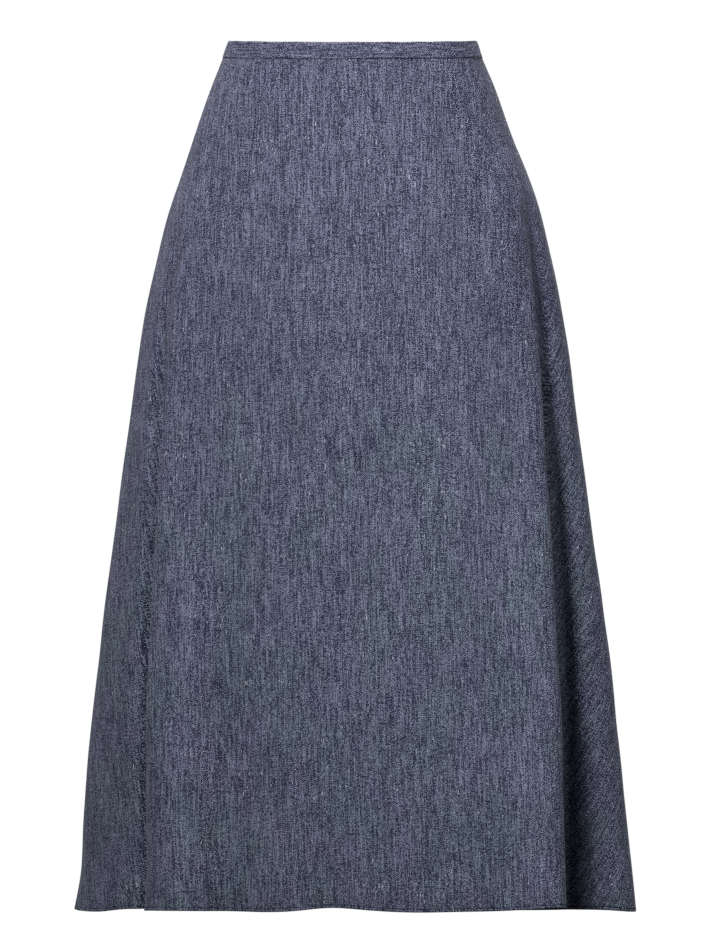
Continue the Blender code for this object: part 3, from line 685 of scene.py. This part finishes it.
def build_coil(material):
    """Two nylon coils whose turns interlock along the middle of the zip."""
    depth = zip_depths()[1] - COIL_WALL / 2
    start = 0.001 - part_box("zip_coil")[1].z
    grid = np.linspace(start, ZIP_END, COIL_SAMPLES)
    spine = np.array([Section.at(drop).curve([LINE_INDEX["centre_back"]])[0] for drop in grid])
    steps = np.arange(int((ZIP_END - start) / COIL_PITCH) * COIL_STEPS)
    paths = []
    for side in (-1, 1):
        turn = 2 * np.pi * steps / COIL_STEPS * side
        drops = start + COIL_PITCH * steps / COIL_STEPS + (COIL_PITCH / 2 if side > 0 else 0)
        x = side * COIL_CENTRE + COIL_HALF_WIDTH * np.cos(turn)
        y = np.interp(drops, grid, spine[:, 1]) + depth + COIL_HALF_DEPTH * np.sin(turn)
        z = np.interp(drops, grid, spine[:, 2])
        paths.append(np.stack([x, y, z], axis=1))
    piece = add_tubes("zip_coil_turns", paths, COIL_WIRE, THREAD_SIDES, material)
    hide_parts("zip_coil")


# ---------------------------------------------------------------- materials
class Shader:
    """A Principled material and short ways to add nodes to it."""

    def __init__(self, name, roughness, metallic=0.0):
        self.material = bpy.data.materials.new(name)
        self.material.use_nodes = True
        self.tree = self.material.node_tree
        self.main = self.tree.nodes["Principled BSDF"]
        self.main.inputs["Roughness"].default_value = roughness
        self.main.inputs["Metallic"].default_value = metallic
        self.main.inputs["Specular IOR Level"].default_value = 0.25

    def node(self, kind, inputs=(), **settings):
        made = self.tree.nodes.new(kind)
        for name, value in settings.items():
            setattr(made, name, value)
        for name, value in dict(inputs).items():
            self.put(made.inputs[name], value)
        return made

    def put(self, socket, value):
        if isinstance(value, bpy.types.NodeSocket):
            self.tree.links.new(value, socket)
        else:
            socket.default_value = value

    def cut(self):
        return self.node("ShaderNodeUVMap", uv_map="Cut").outputs[0]

    def spot(self):
        return self.node("ShaderNodeTexCoord").outputs["Object"]

    def scaled(self, vector, across, down):
        made = self.node("ShaderNodeVectorMath", {0: vector, 1: (1 / across, 1 / down, 1 / across)},
                         operation="MULTIPLY")
        return made.outputs[0]

    def noise(self, vector, across, down, detail=0.0, shift=0.0):
        moved = self.node("ShaderNodeVectorMath",
                          {0: self.scaled(vector, across, down), 1: (shift, shift, 0)},
                          operation="ADD").outputs[0]
        made = self.node("ShaderNodeTexNoise", {"Vector": moved, "Scale": 1.0, "Detail": detail},
                         noise_dimensions="2D")
        return made.outputs[0]

    def pair(self, first, second):
        return self.node("ShaderNodeCombineXYZ", {0: first, 1: second}).outputs[0]

    def chance(self, first, second):
        """A random value from 0 to 1 for each pair of whole numbers."""
        return self.node("ShaderNodeTexWhiteNoise", {"Vector": self.pair(first, second)},
                         noise_dimensions="2D").outputs[0]

    def along(self, thread, run, length, shift=0.0):
        """Smooth noise along each thread, on its own for each thread's number."""
        lane = self.math("MULTIPLY_ADD", thread, 1.37, shift)
        place = self.pair(lane, self.math("DIVIDE", run, length))
        made = self.node("ShaderNodeTexNoise", {"Vector": place, "Scale": 1.0, "Detail": 0.0},
                         noise_dimensions="2D")
        return made.outputs[0]

    def math(self, operation, first, second=0.0, third=0.0):
        made = self.node("ShaderNodeMath", {0: first, 1: second, 2: third}, operation=operation)
        return made.outputs[0]

    def weighted(self, *terms):
        """Sum of weight times value less a half."""
        total = 0.0
        for value, weight in terms:
            centred = self.math("MULTIPLY_ADD", value, weight, -weight / 2)
            total = self.math("ADD", centred, total)
        return total

    def band(self, value, low, high):
        made = self.node("ShaderNodeMapRange", {"Value": value, "From Min": low, "From Max": high},
                         interpolation_type="SMOOTHSTEP")
        return made.outputs[0]

    def blend(self, factor, first, second):
        """A mix of two colours, each three numbers or a socket."""
        made = self.node("ShaderNodeMix", {}, data_type="RGBA")
        self.put(made.inputs["Factor"], factor)
        sockets = [socket for socket in made.inputs if socket.type == "RGBA"]
        for socket, colour in zip(sockets, (first, second)):
            self.put(socket, colour if isinstance(colour, bpy.types.NodeSocket) else (*colour, 1))
        return next(socket for socket in made.outputs if socket.type == "RGBA")

    def bump(self, height, distance, strength=1.0):
        made = self.node("ShaderNodeBump", {"Height": height, "Distance": distance, "Strength": strength})
        self.put(self.main.inputs["Normal"], made.outputs[0])


DARK_YARN = (0.024, 0.027, 0.057)
LIGHT_YARN = (0.227, 0.235, 0.343)
GREEN_YARN = (0.198, 0.246, 0.308)    # where the dye took a little greener
PALE_SLUB = (0.42, 0.44, 0.50)
YARN = 0.00066               # from one warp thread to the next
PICK = 0.00086               # from one weft thread to the next
FLECK = 0.00076              # how far a warp thread runs before its shade jumps
WEIGHTS = {"streaks": 2.2, "long_streaks": 1.3, "picks": 0.65, "flecks": 2.0, "weave": 1.4,
           "mottle": 0.35, "clouds": 0.20}
PALER = 0.15                 # added to all of these together
GREEN_FROM = (-0.18, -0.42)  # places down the cut between which the greener patches set in
THREAD_HEIGHT = 0.00012


def chambray_material(name, turned=False):
    """Blue and pale yarns in plain weave: streaks along each thread, flecks, a few slubs and mottling."""
    shader = Shader(name, roughness=0.94)
    cut = shader.node("ShaderNodeUVMap", uv_map="Weave").outputs[0]
    if turned:
        cut = shader.node("ShaderNodeMapping", {"Vector": cut, "Rotation": (0, 0, math.pi / 2)}).outputs[0]
    parts = shader.node("ShaderNodeSeparateXYZ", {0: cut})
    across, down = parts.outputs[0], parts.outputs[1]
    warp = shader.math("FLOOR", shader.math("DIVIDE", across, YARN))
    weft = shader.math("FLOOR", shader.math("DIVIDE", down, PICK))
    own = shader.chance(warp, 3.0)
    step = shader.math("FLOOR", shader.math("ADD", shader.math("DIVIDE", down, FLECK), own))
    late = shader.math("MULTIPLY", own, 3.0)
    turn = shader.math("ADD", shader.math("MULTIPLY", down, math.pi / PICK), late)
    turn = shader.math("ADD", turn, shader.math("MULTIPLY", warp, math.pi))
    layers = {
        "streaks": shader.along(warp, down, 0.018),
        "long_streaks": shader.along(warp, down, 0.050, shift=17.3),
        "picks": shader.along(weft, across, 0.012, shift=5.1),
        "flecks": shader.chance(warp, step),
        "weave": shader.math("MULTIPLY_ADD", shader.math("SINE", turn), 0.5, 0.5),
        "mottle": shader.noise(cut, 0.030, 0.060, detail=2.0, shift=3.7),
        "clouds": shader.noise(cut, 0.006, 0.022, detail=1.0, shift=9.1),
    }
    factor = shader.weighted(*((layers[name], weight) for name, weight in WEIGHTS.items()))
    factor = shader.band(shader.math("ADD", factor, PALER), 0.0, 1.0)
    hue = shader.band(shader.noise(cut, 0.045, 0.070, detail=1.0, shift=23.9), 0.36, 0.66)
    hue = shader.math("MULTIPLY", hue, shader.band(down, *GREEN_FROM))
    colour = shader.blend(factor, DARK_YARN, shader.blend(hue, LIGHT_YARN, GREEN_YARN))
    slub = shader.band(shader.along(warp, down, 0.006, shift=31.7), 0.83, 0.88)
    places = shader.band(shader.noise(cut, 0.05, 0.05, shift=41.1), 0.5, 0.6)
    colour = shader.blend(shader.math("MULTIPLY", slub, places), colour, PALE_SLUB)
    shader.put(shader.main.inputs["Base Color"], colour)
    shader.put(shader.main.inputs["Roughness"], shader.math("MULTIPLY_ADD", factor, 0.06, 0.90))
    rounded = shader.math("ABSOLUTE", shader.math("SINE", shader.math("MULTIPLY", across, math.pi / YARN)))
    picked = shader.math("ABSOLUTE", shader.math("SINE", shader.math("MULTIPLY", down, math.pi / PICK)))
    threads = shader.math("MULTIPLY_ADD", picked, 0.6, rounded)
    shader.bump(shader.math("MULTIPLY_ADD", factor, 0.5, threads), THREAD_HEIGHT, 0.22)
    return shader.material


def thread_material():
    shader = Shader("thread", roughness=0.8)
    twist = shader.noise(shader.spot(), 0.0003, 0.0003)
    colour = shader.blend(twist, (0.008, 0.010, 0.018), (0.030, 0.034, 0.052))
    shader.put(shader.main.inputs["Base Color"], colour)
    shader.bump(twist, 0.00005)
    return shader.material


def tape_material():
    """A dark woven tape with a fine herringbone."""
    shader = Shader("tape", roughness=0.85)
    cut = shader.cut()
    parts = shader.node("ShaderNodeSeparateXYZ", {0: cut})
    fold = shader.math("PINGPONG", parts.outputs[0], 0.0016)
    down = shader.math("MULTIPLY", parts.outputs[1], 5200.0)
    slant = shader.math("MULTIPLY_ADD", fold, 4200.0, down)
    rib = shader.math("MULTIPLY_ADD", shader.math("SINE", slant), 0.5, 0.5)
    fleck = shader.noise(cut, 0.0006, 0.0006, detail=1.0)
    factor = shader.math("ADD", shader.weighted((rib, 0.5), (fleck, 0.6)), 0.5)
    colour = shader.blend(factor, (0.009, 0.012, 0.028), (0.034, 0.042, 0.085))
    shader.put(shader.main.inputs["Base Color"], colour)
    shader.bump(rib, 0.0001)
    return shader.material


def coil_material():
    shader = Shader("nylon", roughness=0.38)
    fleck = shader.noise(shader.spot(), 0.002, 0.004, detail=2.0)
    colour = shader.blend(fleck, (0.010, 0.013, 0.030), (0.028, 0.034, 0.070))
    shader.put(shader.main.inputs["Base Color"], colour)
    shader.put(shader.main.inputs["Roughness"], shader.math("MULTIPLY_ADD", fleck, 0.25, 0.28))
    return shader.material


def lacquer_material():
    """Navy lacquer on metal, rubbed a little brighter in spots."""
    shader = Shader("lacquer", roughness=0.35, metallic=0.85)
    wear = shader.noise(shader.spot(), 0.0022, 0.0022, detail=3.0)
    rubbed = shader.band(wear, 0.55, 0.75)
    colour = shader.blend(rubbed, (0.030, 0.034, 0.055), (0.085, 0.092, 0.120))
    shader.put(shader.main.inputs["Base Color"], colour)
    shader.put(shader.main.inputs["Roughness"], shader.math("MULTIPLY_ADD", wear, 0.3, 0.22))
    shader.bump(wear, 0.00004, 0.5)
    return shader.material


# ---------------------------------------------------------------- build
def flat_cut(piece):
    """Read the map that lays a cloth piece out flat; the places read are not used."""
    mesh = piece.data
    layer = mesh.uv_layers["Cut"]
    spots = np.empty(len(mesh.loops) * 2, dtype=np.float32)
    layer.data.foreach_get("uv", spots)
    spots = spots.reshape(-1, 2)


def build():
    chambray = chambray_material("chambray")
    banding = chambray_material("chambray_band", turned=True)
    thread = thread_material()
    panels = [build_panel(panel, chambray) for panel in PANELS]
    band = build_band(banding)
    build_stitching(thread)
    build_tapes(tape_material())
    build_coil(coil_material())
    lacquer = lacquer_material()
    for name in ("zip_slider", "zip_pull"):
        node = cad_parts[name]
        node.data.materials.clear()
        node.data.materials.append(lacquer)
    for piece in panels:
        flat_cut(piece)
    flat_cut(band)


# ---------------------------------------------------------------- light, floor and camera
CAMERA = (0.0033, -10.0, -0.4000)
FRAME_HEIGHT = 0.8739        # what the picture's height covers at the skirt
SENSOR = 36.0
FLOOR = -1.05
FLOOR_RADIUS = 3.9
FLOOR_SIDES = 96
FLOOR_GREY = 0.22
FLOOR_GLOW = 0.78
ROOM_LIGHT = 0.022           # the even light from all round

# Soft lamps round the skirt: azimuth in degrees, 0 in front and positive towards +X.
Lamp = namedtuple("Lamp", "name azimuth distance height size power")
KEY = Lamp("key", -20, 2.4, 1.7, (0.6, 0.6), 10.9)
KEY_TARGET = (0.42, 0, -0.60)
KEY_SPREAD = 52
LAMPS = (
    Lamp("left", 70, 2.8, 0.3, (0.8, 0.8), 25.0),
    Lamp("back_left", 150, 2.6, 0.5, (1.4, 1.6), 36.0),
    Lamp("back_right", -138, 2.6, 0.5, (1.4, 1.6), 32.0),
)
LAMPS_TARGET = (0, 0, -0.42)


def add_light(name, place, target, size, power, spread=180):
    data = bpy.data.lights.new(name, "AREA")
    data.shape = "RECTANGLE"
    data.size, data.size_y = size
    data.energy = power
    data.spread = math.radians(spread)
    light = bpy.data.objects.new(name, data)
    bpy.context.scene.collection.objects.link(light)
    light.location = place
    light.rotation_mode = "QUATERNION"
    light.rotation_quaternion = (Vector(target) - Vector(place)).to_track_quat("-Z", "Y")
    light.visible_camera = False
    return light


def round_about(lamp):
    """A lamp's place."""
    turn = math.radians(lamp.azimuth)
    return (lamp.distance * math.sin(turn), -lamp.distance * math.cos(turn), lamp.height)


def build_stage():
    add_light(KEY.name, round_about(KEY), KEY_TARGET, KEY.size, KEY.power, spread=KEY_SPREAD)
    for lamp in LAMPS:
        add_light(lamp.name, round_about(lamp), LAMPS_TARGET, lamp.size, lamp.power)
    add_light("top", (0, 0, 2.4), (0, 0, -1), (1.0, 1.0), 4.0, spread=70)
    world = bpy.data.worlds.new("studio")
    bpy.context.scene.world = world
    world.use_nodes = True
    tree = world.node_tree
    seen = tree.nodes["Background"]
    seen.inputs[0].default_value = (1, 1, 1, 1)
    seen.inputs[1].default_value = 1.0
    lit = tree.nodes.new("ShaderNodeBackground")
    lit.inputs[0].default_value = (0.95, 0.97, 1, 1)
    lit.inputs[1].default_value = ROOM_LIGHT
    ray = tree.nodes.new("ShaderNodeLightPath")
    mix = tree.nodes.new("ShaderNodeMixShader")
    tree.links.new(ray.outputs["Is Camera Ray"], mix.inputs[0])
    tree.links.new(lit.outputs[0], mix.inputs[1])
    tree.links.new(seen.outputs[0], mix.inputs[2])
    tree.links.new(mix.outputs[0], tree.nodes["World Output"].inputs[0])
    floor_mesh = bpy.data.meshes.new("floor")
    turn = np.linspace(0, 2 * np.pi, FLOOR_SIDES + 1)[:-1]
    height = np.full(FLOOR_SIDES, FLOOR)
    ring = np.stack([FLOOR_RADIUS * np.cos(turn), FLOOR_RADIUS * np.sin(turn), height], axis=1)
    floor_mesh.from_pydata(ring.tolist(), [], [list(range(FLOOR_SIDES))])
    shader = Shader("floor", roughness=0.9)
    shader.main.inputs["Base Color"].default_value = (FLOOR_GREY, FLOOR_GREY, FLOOR_GREY, 1)
    shader.main.inputs["Emission Color"].default_value = (1, 1, 1, 1)
    shader.main.inputs["Emission Strength"].default_value = FLOOR_GLOW
    floor_mesh.materials.append(shader.material)
    floor = bpy.data.objects.new("floor", floor_mesh)
    bpy.context.scene.collection.objects.link(floor)
    floor.visible_diffuse = False
    floor.visible_glossy = False


def build_camera():
    data = bpy.data.cameras.new("camera")
    data.sensor_width = SENSOR
    data.lens = SENSOR * -CAMERA[1] / FRAME_HEIGHT
    data.clip_end = 100
    camera = bpy.data.objects.new("camera", data)
    bpy.context.scene.collection.objects.link(camera)
    camera.location = CAMERA
    camera.rotation_euler = (math.pi / 2, 0, 0)
    bpy.context.scene.camera = camera


build()
build_stage()
build_camera()
bpy.context.scene.view_settings.view_transform = "Standard"
bpy.context.scene.view_settings.look = "None"
bpy.context.scene.cycles.use_denoising = False
